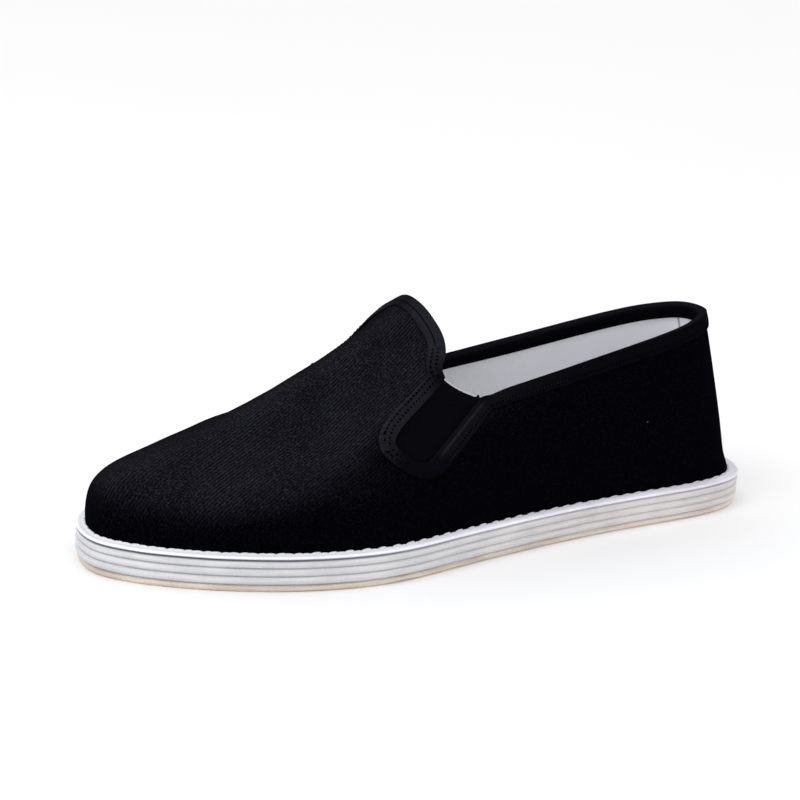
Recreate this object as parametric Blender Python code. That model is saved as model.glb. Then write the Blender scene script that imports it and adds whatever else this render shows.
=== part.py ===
"""A slip-on cloth shoe for the left foot, with a layered cotton sole, built as its maker puts it together.

The toe points along -Y, the outer (little toe) side is +X and the floor is the plane z = 0.
Every place on the upper is a turn round the shoe, in degrees, with 0 at the back of the heel, 90 on the
outer side, 180 at the toe and 270 on the inner side, and a rise, which is 0 where the cloth meets the
sole and 1 at the rim of the shoe.
"""

import math

import bmesh
import bpy
import numpy as np

MM = 0.001

# Sole: a cloth outsole, three bound cloth layers and the top layer on which the upper stands
SOLE_LENGTH = 275 * MM
BALL_WIDTH = 101 * MM
OUTSOLE_THICKNESS = 2.5 * MM
MIDSOLE_THICKNESS = 2.5 * MM
MIDSOLE_LAYERS = 3
WELT_THICKNESS = 1.3 * MM
OUTSOLE_INSET = 0.8 * MM
LAYER_ROUND = 0.8 * MM
WELT_ROUND = 0.45 * MM

# Fit: the space left between neighbouring pieces
CLEARANCE = 0.3 * MM

# Ledge: how far the sole stands out round the upper
LEDGE_HEEL = 4.6 * MM
LEDGE_SIDE = 3.2 * MM
LEDGE_TOE = 3.3 * MM

# Upper, with heights measured from the top of the sole, and the rise up to which its wall eases from
# standing level on the sole to its own slope
UPPER_WALL = 2.0 * MM
LEVEL_RISE = 0.12
HEEL_HEIGHT = 60.0 * MM
CORNER_HEIGHT = 40.0 * MM
TONGUE_HEIGHT = 72.0 * MM
COLLAR_WIDTH = 48.5 * MM
TONGUE_WIDTH = 58.0 * MM

# Notch in each side for the elastic: its rear and front edges as turns, and its foot as a rise that
# slopes up towards the front
NOTCH_REAR = 109.5
NOTCH_FRONT = 124.5
NOTCH_FOOT = 0.685
NOTCH_FOOT_SLOPE = 0.15
NOTCH_CORNER_RISE = 0.06
NOTCH_CORNER_TURN = 3.5
ELASTIC_THICKNESS = 1.2 * MM
ELASTIC_DEPTH = 0.5 * MM

# Binding folded over the rim, and insole. Softness and rounding are shares of their thickness
BINDING_THICKNESS = 0.5 * MM
BINDING_WIDTH = 4.8 * MM
BINDING_INSIDE = 4.0 * MM
BINDING_PUFF = 0.22 * MM
BINDING_SOFTNESS = 0.6
INSOLE_THICKNESS = 1.8 * MM
INSOLE_ROUNDING = 0.3

# Mesh density: points round the sole, rows of the upper below and above the foot of the notch, and
# columns beside, across and in front of the notch
SOLE_POINTS = 72
ROWS_BELOW = 7
ROWS_ABOVE = 7
QUARTER_COLUMNS = 24
NOTCH_COLUMNS = 10
TONGUE_COLUMNS = 14
CROWDING = 1.25

# Sole outline: along as a share of SOLE_LENGTH from the heel, widths as shares of BALL_WIDTH
OUTLINE = [
    # along, outer, inner
    (0.015, 0.160, 0.160),
    (0.050, 0.262, 0.258),
    (0.110, 0.316, 0.307),
    (0.257, 0.346, 0.318),
    (0.404, 0.389, 0.335),
    (0.548, 0.459, 0.415),
    (0.680, 0.522, 0.474),
    (0.790, 0.478, 0.468),
    (0.878, 0.373, 0.396),
    (0.953, 0.226, 0.268),
    (0.988, 0.112, 0.142),
]

# Rim: turn, along as a share of SOLE_LENGTH, out as a share of half the collar or tongue width,
# up as a share of the heel's, the corner's or the tongue's height
QUARTER_RIM = [
    # turn, along, out
    (0.0, 0.069, 0.00),
    (14.0, 0.076, 0.31),
    (30.0, 0.106, 0.56),
    (52.0, 0.169, 0.75),
    (78.0, 0.332, 0.88),
    (100.0, 0.444, 0.965),
    (NOTCH_REAR, 0.488, 1.00),
]
TONGUE_RIM = [
    # turn, along, out, up
    (NOTCH_FRONT, 0.565, 0.97, 0.700),
    (138.0, 0.553, 0.79, 0.830),
    (158.0, 0.549, 0.417, 0.940),
    (180.0, 0.553, 0.00, 1.000),
]

# Section from the sole up to the rim: runs are shares of the way in, rises shares of the way up
SECTIONS = [
    # turn, foot_run, foot_rise, wall_run, wall_rise, shoulder_run, shoulder_rise, crown_run, crown_rise
    (0.0, 0.16, 0.08, 0.30, 0.26, 0.52, 0.50, 0.78, 0.78),
    (45.0, 0.10, 0.09, 0.20, 0.28, 0.45, 0.54, 0.74, 0.80),
    (90.0, 0.02, 0.10, 0.09, 0.31, 0.35, 0.57, 0.69, 0.83),
    (116.0, -0.03, 0.11, -0.04, 0.30, 0.24, 0.515, 0.64, 0.75),
    (145.0, -0.01, 0.11, 0.03, 0.24, 0.21, 0.335, 0.70, 0.61),
    (180.0, -0.01, 0.15, 0.03, 0.27, 0.15, 0.34, 0.64, 0.59),
]


def smooth(stations, values, at):
    """A smooth curve through the values at their stations, read at one station."""
    i = int(np.clip(np.searchsorted(stations, at, side="right") - 1, 1, len(stations) - 3))
    s, v = stations, values

    def slope(k):
        before = (v[k] - v[k - 1]) / (s[k] - s[k - 1])
        after = (v[k + 1] - v[k]) / (s[k + 1] - s[k])
        share = (s[k] - s[k - 1]) / (s[k + 1] - s[k - 1])
        return before * (1 - share) + after * share

    step = s[i + 1] - s[i]
    t = (at - s[i]) / step
    return (
        v[i] * (2 * t**3 - 3 * t**2 + 1)
        + slope(i) * step * (t**3 - 2 * t**2 + t)
        + v[i + 1] * (3 * t**2 - 2 * t**3)
        + slope(i + 1) * step * (t**3 - t**2)
    )


def all_round(rows):
    """Stations and values of one half turn continued round the whole shoe and past both ends."""
    half = [(turn, np.array(values, float)) for turn, *values in rows]
    back = [(360 - turn, values) for turn, values in half if 0 < turn < 180]
    return full_turn(half + back)


def full_turn(rows):
    """Stations and values of a whole turn, with three more at each end for smooth() to read."""
    rows = sorted(rows, key=lambda row: row[0])
    wrapped = (
        [(turn - 360, v) for turn, v in rows[-3:]] + rows + [(turn + 360, v) for turn, v in rows[:3]]
    )
    return np.array([turn for turn, _ in wrapped]), np.array([v for _, v in wrapped])


def sole_fullness():
    """The outline as a fullness at each turn: the half width divided by the turn's sine."""
    rows = []
    for along, outer, inner in OUTLINE:
        turn = math.degrees(math.acos(1 - 2 * along))
        sine = math.sin(math.radians(turn))
        rows.append((turn, np.array([outer * BALL_WIDTH / sine])))
        rows.append((360 - turn, np.array([inner * BALL_WIDTH / sine])))
    return full_turn(rows)


FULLNESS = sole_fullness()


def sole_edge(turn):
    """A point of the sole's edge, across from the line through the middles of heel and toe, and along."""
    angle = math.radians(turn)
    width = smooth(*FULLNESS, turn % 360)[0]
    return np.array([width * math.sin(angle), SOLE_LENGTH / 2 * math.cos(angle)])


def midline():
    """Where the line through the middles of heel and toe lies across, for a sole centred on x = 0."""
    across = [sole_edge(turn)[0] for turn in range(360)]
    return np.array([-(max(across) + min(across)) / 2, 0.0])


MIDLINE = midline()


def outline(turn, inset):
    """A point of the sole's edge in plan, moved inwards by the inset."""
    ahead = sole_edge(turn + 0.5) - sole_edge(turn - 0.5)
    inwards = np.array([ahead[1], -ahead[0]]) / np.linalg.norm(ahead)
    return MIDLINE + sole_edge(turn) + inwards * inset


def layer_heights():
    """Bottom and top of each sole layer, from the floor up."""
    heights = [(0.0, OUTSOLE_THICKNESS)]
    for _ in range(MIDSOLE_LAYERS):
        bottom = heights[-1][1] + CLEARANCE
        heights.append((bottom, bottom + MIDSOLE_THICKNESS))
    bottom = heights[-1][1] + CLEARANCE
    heights.append((bottom, bottom + WELT_THICKNESS))
    return heights


SOLE_TOP = layer_heights()[-1][1]
UPPER_FOOT = SOLE_TOP + CLEARANCE


def rim_rows():
    """Rim points of the outer side: across, along and up from the sole's top, in metres."""
    rows = []
    for turn, along, out in QUARTER_RIM:
        share = (along - QUARTER_RIM[0][1]) / (QUARTER_RIM[-1][1] - QUARTER_RIM[0][1])
        up = HEEL_HEIGHT + (CORNER_HEIGHT - HEEL_HEIGHT) * share
        rows.append((turn, out * COLLAR_WIDTH / 2, (0.5 - along) * SOLE_LENGTH, up))
    for turn, along, out, up in TONGUE_RIM:
        rows.append((turn, out * TONGUE_WIDTH / 2, (0.5 - along) * SOLE_LENGTH, up * TONGUE_HEIGHT))
    return rows


def rim_round():
    """The rim all round the shoe. The inner side mirrors the outer one."""
    half = [(turn, x, y, z) for turn, x, y, z in rim_rows()]
    back = [(360 - turn, -x, y, z) for turn, x, y, z in half if 0 < turn < 180]
    return full_turn([(turn, np.array([MIDLINE[0] + x, y, z])) for turn, x, y, z in half + back])


RIM = rim_round()
SECTION_SHAPE = all_round(SECTIONS)


def ledge(turn):
    """Width of the sole's ledge beside the upper."""
    fore_aft = math.cos(math.radians(turn))
    end = LEDGE_HEEL if fore_aft > 0 else LEDGE_TOE
    return LEDGE_SIDE + (end - LEDGE_SIDE) * fore_aft**2


def section(turn, rise):
    """Run and rise shares of the cloth at one rise, as a cubic B-spline over the section's points."""
    foot_run, foot_rise, wall_run, wall_rise, sh_run, sh_rise, crown_run, crown_rise = smooth(
        *SECTION_SHAPE, turn % 360
    )
    points = np.array(
        [
            (0.0, 0.0),
            (foot_run, foot_rise),
            (wall_run, wall_rise),
            (sh_run, sh_rise),
            (crown_run, crown_rise),
            (1.0, 1.0),
        ]
    )
    knots = [0, 0, 0, 0, 1 / 3, 2 / 3, 1, 1, 1, 1]
    at = min(max(rise, 0.0), 1.0 - 1e-9)
    basis = [1.0 if knots[i] <= at < knots[i + 1] else 0.0 for i in range(9)]
    for degree in (1, 2, 3):
        for i in range(9 - degree):
            left = knots[i + degree] - knots[i]
            right = knots[i + degree + 1] - knots[i + 1]
            low = (at - knots[i]) / left * basis[i] if left else 0.0
            high = (knots[i + degree + 1] - at) / right * basis[i + 1] if right else 0.0
            basis[i] = low + high
    return np.array(basis[:6]) @ points


def cloth(turn, rise):
    """A point of the upper's outer face."""
    foot = outline(turn, ledge(turn))
    rim = smooth(*RIM, turn % 360)
    run, up = section(turn, rise)
    x, y = foot + (rim[:2] - foot) * run
    return np.array([x, y, UPPER_FOOT + rim[2] * up])


def cloth_normal(turn, rise):
    """Outward normal of the upper. It lies level at the foot, so that the wall stands flat on the sole."""
    low, high = max(rise - 0.01, 0.0), min(rise + 0.01, 1.0)
    along = cloth(turn + 0.5, rise) - cloth(turn - 0.5, rise)
    up = cloth(turn, high) - cloth(turn, low)
    normal = np.cross(up, along)
    normal[2] *= min(1.0, rise / LEVEL_RISE)
    return normal / np.linalg.norm(normal)


def upper_point(turn, rise, depth=0.0):
    """A point of the upper, below its outer face by the depth."""
    return cloth(turn, rise) - cloth_normal(turn, rise) * depth


def quarter_ellipse(distance, reach, height):
    """How far a corner that is rounded over the reach drops at a distance from its edge."""
    if distance >= reach:
        return 0.0
    return height * (1 - math.sqrt(max(0.0, 1 - (1 - distance / reach) ** 2)))


def half_turn(turn):
    return turn if turn <= 180 else 360 - turn


def notch_foot(turn):
    """Rise of the notch's rounded foot, and of the row that continues it beyond the notch."""
    at = min(max(half_turn(turn), NOTCH_REAR), NOTCH_FRONT)
    slope = NOTCH_FOOT_SLOPE * (at - NOTCH_REAR) / (NOTCH_FRONT - NOTCH_REAR)
    edge = min(at - NOTCH_REAR, NOTCH_FRONT - at)
    return NOTCH_FOOT + slope + quarter_ellipse(edge, NOTCH_CORNER_TURN, NOTCH_CORNER_RISE)


def eased(start, end, steps):
    """Turns from start to end that crowd together at both ends."""
    return [start + (end - start) * (1 - math.cos(math.pi * i / steps)) / 2 for i in range(steps + 1)]


def quarter_turns():
    """Columns from the heel up to the notch, which crowd a little towards the notch."""
    shares = [1 - (1 - i / QUARTER_COLUMNS) ** CROWDING for i in range(QUARTER_COLUMNS)]
    return [NOTCH_REAR * share for share in shares]


def tongue_turns():
    """Columns from the notch to the toe's middle, which crowd a little towards the notch."""
    shares = [(i / TONGUE_COLUMNS) ** CROWDING for i in range(1, TONGUE_COLUMNS + 1)]
    return [NOTCH_FRONT + (180 - NOTCH_FRONT) * share for share in shares]


def rows_above(turn):
    """Rises above the foot of the notch up to the rim."""
    foot = notch_foot(turn)
    return [foot + (1 - foot) * k / ROWS_ABOVE for k in range(1, ROWS_ABOVE + 1)]


def in_notch(turn):
    return NOTCH_REAR < half_turn(turn) < NOTCH_FRONT


def new_material(name, color, roughness):
    material = bpy.data.materials.new(name)
    material.use_nodes = True
    shader = material.node_tree.nodes["Principled BSDF"]
    shader.inputs["Base Color"].default_value = (*color, 1.0)
    shader.inputs["Roughness"].default_value = roughness
    shader.inputs["Metallic"].default_value = 0.0
    return material


def add_object(name, mesh_data, material, sharp_degrees=40):
    """Links a bmesh as a named object with its own material."""
    bmesh.ops.recalc_face_normals(mesh_data, faces=mesh_data.faces)
    mesh = bpy.data.meshes.new(name)
    mesh_data.to_mesh(mesh)
    mesh_data.free()
    mesh.materials.append(material)
    mesh.shade_smooth()
    mesh.set_sharp_from_angle(angle=math.radians(sharp_degrees))
    obj = bpy.data.objects.new(name, mesh)
    bpy.context.scene.collection.objects.link(obj)
    return obj


def bridge(mesh_data, first, second):
    """Faces between two closed rings of as many points."""
    count = len(first)
    for i in range(count):
        j = (i + 1) % count
        mesh_data.faces.new((first[i], first[j], second[j], second[i]))


def close_edges(mesh_data, pairs):
    """Joins the open edges of an outer face to those of the inner face that it is paired with."""
    for edge in [edge for edge in mesh_data.edges if edge.is_boundary]:
        first, second = edge.verts
        if first in pairs and second in pairs:
            mesh_data.faces.new((first, second, pairs[second], pairs[first]))


def plate(name, rings, material):
    """A solid plate from closed rings of points, stacked from its underside to its top."""
    mesh_data = bmesh.new()
    levels = [[mesh_data.verts.new(point) for point in ring] for ring in rings]
    for lower, higher in zip(levels, levels[1:]):
        bridge(mesh_data, lower, higher)
    mesh_data.faces.new(levels[0])
    mesh_data.faces.new(levels[-1])
    return add_object(name, mesh_data, material)


def sole_layer(name, bottom, top, inset, rounding, material):
    """One layer of the sole with a rounded edge."""
    turns = [360 * i / SOLE_POINTS for i in range(SOLE_POINTS)]
    levels = [
        (inset + rounding, bottom),
        (inset, bottom + rounding),
        (inset, top - rounding),
        (inset + rounding, top),
    ]
    rings = [[(*outline(turn, step_in), z) for turn in turns] for step_in, z in levels]
    return plate(name, rings, material)


def build_sole(materials):
    heights = layer_heights()
    sole_layer("outsole", *heights[0], OUTSOLE_INSET, LAYER_ROUND, materials["outsole"])
    for i, (bottom, top) in enumerate(heights[1:-1], start=1):
        sole_layer(f"midsole_layer_{i}", bottom, top, 0.0, LAYER_ROUND, materials["sole_cloth"])
    sole_layer("welt", *heights[-1], 0.0, WELT_ROUND, materials["welt"])


def build_upper(material):
    """The cloth wall from the sole to the rim, open above and below, with a notch in each side."""
    half = quarter_turns() + eased(NOTCH_REAR, NOTCH_FRONT, NOTCH_COLUMNS) + tongue_turns()
    turns = half + [360 - turn for turn in reversed(half) if 0 < turn < 180]
    mesh_data = bmesh.new()
    points = {}
    for depth in (0.0, UPPER_WALL):
        for j, turn in enumerate(turns):
            foot = notch_foot(turn)
            rises = [foot * k / ROWS_BELOW for k in range(ROWS_BELOW + 1)]
            if not in_notch(turn):
                rises += rows_above(turn)
            for k, rise in enumerate(rises):
                points[depth, j, k] = mesh_data.verts.new(upper_point(turn, rise, depth))
    rows = ROWS_BELOW + ROWS_ABOVE
    for j, turn in enumerate(turns):
        after = (j + 1) % len(turns)
        open_above = in_notch(turn) or in_notch(turns[after])
        for k in range(ROWS_BELOW if open_above else rows):
            for depth in (0.0, UPPER_WALL):
                corners = [(j, k), (after, k), (after, k + 1), (j, k + 1)]
                mesh_data.faces.new([points[depth, *corner] for corner in corners])
    close_edges(mesh_data, {points[key]: points[UPPER_WALL, *key[1:]] for key in points if key[0] == 0.0})
    return add_object("upper", mesh_data, material)


def rim_path():
    """The edge that is bound, all round: collar, notch, tongue and the other notch, as turn and rise."""
    path = [(turn, 1.0) for turn in quarter_turns()]
    path += [(NOTCH_REAR, rise) for rise in reversed(rows_above(NOTCH_REAR))]
    path += [(turn, notch_foot(turn)) for turn in eased(NOTCH_REAR, NOTCH_FRONT, NOTCH_COLUMNS)]
    path += [(NOTCH_FRONT, rise) for rise in rows_above(NOTCH_FRONT)]
    path += [(turn, 1.0) for turn in tongue_turns()]
    return path + [(360 - turn, rise) for turn, rise in reversed(path) if 0 < turn < 180]


def unit(vector):
    return vector / np.linalg.norm(vector)


def nearest_on_cloth(point, turn, rise):
    """The turn and rise of the cloth nearest to a point, from a first guess."""
    for _ in range(4):
        per_turn = cloth(turn + 0.5, rise) - cloth(turn - 0.5, rise)
        per_rise = (cloth(turn, rise) - cloth(turn, rise - 0.05)) / 0.05
        ways = np.stack([per_turn, per_rise], axis=1)
        step = np.linalg.lstsq(ways, point - cloth(turn, rise), rcond=None)[0]
        turn, rise = turn + step[0], min(rise + step[1], 1.0)
    return turn, rise


def build_binding(material):
    """Tape folded over the whole rim: an outer flange, the fold and an inner flange."""
    path = rim_path()
    edge = [cloth(turn, rise) for turn, rise in path]
    outer, fold = CLEARANCE, CLEARANCE + BINDING_THICKNESS
    inner = UPPER_WALL + CLEARANCE + BINDING_PUFF
    soft = BINDING_THICKNESS * BINDING_SOFTNESS
    over_rim = [
        (fold - soft, fold),
        (fold, fold - soft),
        (fold, -inner - BINDING_THICKNESS),
    ]
    under_fold = [(outer, -inner), (outer, outer)]
    mesh_data = bmesh.new()
    rings = []
    for i, (turn, rise) in enumerate(path):
        before = unit(edge[i] - edge[i - 1])
        after = unit(edge[(i + 1) % len(edge)] - edge[i])
        ahead = unit(before + after)
        normal = cloth_normal(turn, rise)
        normal = unit(normal - ahead * (normal @ ahead))
        away = np.cross(ahead, normal) / (ahead @ after)

        def on_rim(up, out):
            return edge[i] + away * up + normal * out

        def on_cloth(down, out):
            return upper_point(*nearest_on_cloth(edge[i] - away * down, turn, rise), -out)

        ring = [on_cloth(BINDING_WIDTH / 2, outer + BINDING_PUFF), on_cloth(BINDING_WIDTH, outer)]
        ring += [on_cloth(BINDING_WIDTH, fold), on_cloth(BINDING_WIDTH / 2, fold + BINDING_PUFF)]
        ring += [on_rim(*place) for place in over_rim]
        ring += [on_cloth(BINDING_INSIDE, -inner - BINDING_THICKNESS), on_cloth(BINDING_INSIDE, -inner)]
        ring += [on_rim(*place) for place in under_fold]
        rings.append([mesh_data.verts.new(point) for point in ring])
    for i, ring in enumerate(rings):
        bridge(mesh_data, ring, rings[(i + 1) % len(rings)])
    return add_object("collar_binding", mesh_data, material, sharp_degrees=50)


def build_elastic(name, turn_of, material):
    """The elastic panel that fills a notch, clear of the binding's fold."""
    steps, rows = 8, 7
    reach = CLEARANCE + BINDING_THICKNESS + CLEARANCE
    depths = (ELASTIC_DEPTH, ELASTIC_DEPTH + ELASTIC_THICKNESS)

    slope = NOTCH_FOOT_SLOPE / (NOTCH_FRONT - NOTCH_REAR)

    def step_in(turn, rise):
        """The turn and the rise that lead the reach away from the notch's side and from its foot."""
        per_turn = cloth(turn + 0.5, rise) - cloth(turn - 0.5, rise)
        per_rise = (cloth(turn, rise) - cloth(turn, rise - 0.1)) / 0.1
        aside = reach / np.linalg.norm(np.cross(per_turn, unit(per_rise)))
        lift = reach / np.linalg.norm(np.cross(per_rise, unit(per_turn + per_rise * slope)))
        return aside, lift

    mesh_data = bmesh.new()
    points = {}
    for j, share in enumerate(eased(0.0, 1.0, steps)):
        for k in range(rows + 1):
            rise = NOTCH_FOOT + (1.0 - NOTCH_FOOT) * k / rows
            for _ in range(4):
                rear = NOTCH_REAR + step_in(NOTCH_REAR, rise)[0]
                front = NOTCH_FRONT - step_in(NOTCH_FRONT, rise)[0]
                turn = rear + (front - rear) * share
                aside, lift = step_in(turn, rise)
                round_up = quarter_ellipse(
                    min(turn - rear, front - turn), NOTCH_CORNER_TURN - aside, NOTCH_CORNER_RISE
                )
                foot = NOTCH_FOOT + slope * (turn - NOTCH_REAR) + lift + round_up
                rise = foot + (1.0 - foot) * k / rows
            for depth in depths:
                points[depth, j, k] = mesh_data.verts.new(upper_point(turn_of(turn), rise, depth))
    for j in range(steps):
        for k in range(rows):
            for depth in depths:
                corners = [(j, k), (j + 1, k), (j + 1, k + 1), (j, k + 1)]
                mesh_data.faces.new([points[depth, *corner] for corner in corners])
    close_edges(
        mesh_data, {points[key]: points[depths[1], *key[1:]] for key in points if key[0] == depths[0]}
    )
    return add_object(name, mesh_data, material)


def rise_at(turn, height):
    """The rise at which the cloth is this high above the foot of the upper."""
    low, high = 0.0, 0.5
    for _ in range(30):
        middle = (low + high) / 2
        if cloth(turn, middle)[2] - UPPER_FOOT < height:
            low = middle
        else:
            high = middle
    return low


def build_insole(material):
    """The insole, which lies on the sole inside the upper and follows the lean of its wall."""
    turns = [360 * i / SOLE_POINTS for i in range(SOLE_POINTS)]
    inside = UPPER_WALL + CLEARANCE
    rounding = INSOLE_THICKNESS * INSOLE_ROUNDING
    levels = [
        (0.0, inside + rounding),
        (rounding, inside),
        (INSOLE_THICKNESS - rounding, inside),
        (INSOLE_THICKNESS, inside + rounding),
    ]
    rings = []
    for height, depth in levels:
        ring = []
        for turn in turns:
            outwards = cloth_normal(turn, 0.0)
            narrowest = cloth(turn, rise_at(turn, height)) - outwards * depth
            ring.append((narrowest[0], narrowest[1], UPPER_FOOT + height))
        rings.append(ring)
    return plate("insole", rings, material)


def build():
    for obj in list(bpy.data.objects):
        bpy.data.objects.remove(obj)
    materials = {
        "outsole": new_material("outsole_cloth", (0.60, 0.52, 0.43), 0.9),
        "sole_cloth": new_material("white_sole_cloth", (0.68, 0.67, 0.67), 0.9),
        "welt": new_material("white_welt_cloth", (0.78, 0.78, 0.82), 0.9),
        "upper": new_material("black_twill", (0.008, 0.008, 0.012), 0.85),
        "elastic": new_material("black_elastic", (0.006, 0.006, 0.009), 0.8),
        "binding": new_material("black_binding", (0.015, 0.014, 0.022), 0.8),
        "insole": new_material("white_insole_cloth", (0.72, 0.71, 0.70), 0.9),
    }
    build_sole(materials)
    build_insole(materials["insole"])
    build_upper(materials["upper"])
    build_elastic("elastic_outer_side", lambda turn: turn, materials["elastic"])
    build_elastic("elastic_inner_side", lambda turn: 360 - turn, materials["elastic"])
    build_binding(materials["binding"])


build()
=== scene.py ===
import math

import bmesh
import bpy
import numpy as np
from mathutils import Matrix, Vector, noise
from mathutils.bvhtree import BVHTree
from mathutils.kdtree import KDTree


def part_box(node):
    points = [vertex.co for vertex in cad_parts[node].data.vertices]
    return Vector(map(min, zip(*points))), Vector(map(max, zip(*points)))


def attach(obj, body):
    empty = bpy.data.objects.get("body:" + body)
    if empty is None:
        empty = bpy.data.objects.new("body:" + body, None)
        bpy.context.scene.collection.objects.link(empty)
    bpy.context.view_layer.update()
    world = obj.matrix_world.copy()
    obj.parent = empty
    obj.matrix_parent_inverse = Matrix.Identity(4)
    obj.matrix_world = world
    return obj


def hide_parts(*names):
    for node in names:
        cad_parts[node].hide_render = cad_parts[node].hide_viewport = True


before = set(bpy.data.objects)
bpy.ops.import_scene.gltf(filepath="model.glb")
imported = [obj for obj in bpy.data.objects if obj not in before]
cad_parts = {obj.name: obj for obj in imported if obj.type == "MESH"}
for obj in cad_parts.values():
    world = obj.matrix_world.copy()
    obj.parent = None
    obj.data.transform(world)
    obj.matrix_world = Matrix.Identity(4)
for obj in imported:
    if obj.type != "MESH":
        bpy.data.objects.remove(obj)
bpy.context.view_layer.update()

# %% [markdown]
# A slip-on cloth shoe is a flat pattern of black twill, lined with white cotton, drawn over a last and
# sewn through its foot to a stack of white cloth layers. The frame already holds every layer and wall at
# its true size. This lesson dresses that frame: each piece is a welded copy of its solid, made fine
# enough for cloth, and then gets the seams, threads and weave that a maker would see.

MM = 0.001
IMAGE_SIDE = 800
MIDDLE_X = -2.1 * MM
ON_MIDDLE = 0.1 * MM

# %% [markdown]
# The camera stands in front of the toe on the outer side, a little above the shoe, and is rolled by a few
# degrees. A camera could be aimed with a constraint, but a matrix built from its three directions holds
# the roll as well and leaves nothing to evaluate.

# %% Camera
CAMERA_AZIMUTH = 54.95
CAMERA_ELEVATION = 15.47
CAMERA_ROLL = 4.14
CAMERA_DISTANCE = 872.7 * MM
CAMERA_TARGET = Vector((MIDDLE_X, 0, 35 * MM))
FOCAL_PIXELS = 2422.3
CENTRE_PIXEL = (433.46, 430.83)
SENSOR_WIDTH = 36

azimuth, elevation = math.radians(CAMERA_AZIMUTH), math.radians(CAMERA_ELEVATION)
back = Vector(
    (
        math.sin(azimuth) * math.cos(elevation),
        -math.cos(azimuth) * math.cos(elevation),
        math.sin(elevation),
    )
)
level_right = (-back).cross(Vector((0, 0, 1))).normalized()
tilt = Matrix.Rotation(math.radians(CAMERA_ROLL), 3, back)
right = tilt @ level_right
above = tilt @ level_right.cross(-back)
place = CAMERA_TARGET + back * CAMERA_DISTANCE

lens = bpy.data.cameras.new("photo_lens")
lens.sensor_width = SENSOR_WIDTH
lens.lens = FOCAL_PIXELS / IMAGE_SIDE * SENSOR_WIDTH
lens.shift_x = (IMAGE_SIDE / 2 - CENTRE_PIXEL[0]) / IMAGE_SIDE
lens.shift_y = (CENTRE_PIXEL[1] - IMAGE_SIDE / 2) / IMAGE_SIDE
lens.clip_start = 0.01
camera = bpy.data.objects.new("camera", lens)
camera.matrix_world = Matrix((right, above, back)).transposed().to_4x4()
camera.location = place
bpy.context.scene.collection.objects.link(camera)
bpy.context.scene.camera = camera
print("camera at", [round(x, 3) for x in place], "lens", round(lens.lens, 1))

# %% [markdown]
# A product picture of a black shoe is lit from a large soft source over the toe, with white walls all
# round that fill the shadows. An area light and a bright even world give the same.

# %% Floor and light
def area_light(name, spot, aim, side, power, tint):
    data = bpy.data.lights.new(name, "AREA")
    data.shape = "SQUARE"
    data.size = side
    data.energy = power
    data.color = tint
    lamp = bpy.data.objects.new(name, data)
    lamp.matrix_world = (Vector(spot) - Vector(aim)).to_track_quat("Z", "Y").to_matrix().to_4x4()
    lamp.location = spot
    bpy.context.scene.collection.objects.link(lamp)


area_light("key_softbox", (0.25, -0.95, 0.95), (0, 0, 0.03), 0.9, 5.0, (0.97, 0.98, 1.0))

world = bpy.data.worlds.new("white_studio")
world.use_nodes = True
world.node_tree.nodes["Background"].inputs["Color"].default_value = (0.99, 0.99, 1.0, 1)
world.node_tree.nodes["Background"].inputs["Strength"].default_value = 1.02
bpy.context.scene.world = world
bpy.context.scene.view_settings.view_transform = "Standard"

sweep = bmesh.new()
bmesh.ops.create_grid(sweep, x_segments=1, y_segments=1, size=4.0)
floor_mesh = bpy.data.meshes.new("floor")
sweep.to_mesh(floor_mesh)
sweep.free()
floor = bpy.data.objects.new("floor", floor_mesh)
bpy.context.scene.collection.objects.link(floor)
print("lamps:", len(bpy.data.lights), "and a floor of", len(floor_mesh.polygons), "face")

# %% [markdown]
# A finish is a small graph of nodes. Written out link by link it would be long and hard to read, so one
# class wraps a socket and turns sums into Math nodes, and one method adds any other node with its
# settings first and its sockets after.

# %% Shader maths
# The colour sockets of the Mix node, by number, because its other kinds share their names.
MIX_FACTOR, MIX_LOW, MIX_HIGH, MIX_RESULT = 0, 6, 7, 2


class Value:
    """A number that varies over a surface: the output socket of a node in a finish."""

    def __init__(self, finish, socket):
        self.finish = finish
        self.socket = socket

    def _math(self, operation, *values):
        settings = {"operation": operation}
        return self.finish.add("ShaderNodeMath", settings, dict(enumerate(values)))

    def __add__(self, other):
        return self._math("ADD", self, other)

    __radd__ = __add__

    def __sub__(self, other):
        return self._math("SUBTRACT", self, other)

    def __rsub__(self, other):
        return self._math("SUBTRACT", other, self)

    def __mul__(self, other):
        return self._math("MULTIPLY", self, other)

    __rmul__ = __mul__

    def __truediv__(self, other):
        return self._math("DIVIDE", self, other)

    def __pow__(self, other):
        return self._math("POWER", self, other)

    def sine(self):
        return self._math("SINE", self)

    def fraction(self):
        return self._math("FRACT", self)

    def unsigned(self):
        return self._math("ABSOLUTE", self)

    def at_least(self, other):
        return self._math("MAXIMUM", self, other)

    def between(self, low, high):
        """0 below low, 1 above high and smooth on the way."""
        settings = {"interpolation_type": "SMOOTHSTEP"}
        return self.finish.add(
            "ShaderNodeMapRange", settings, {"Value": self, "From Min": low, "From Max": high}
        )


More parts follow.
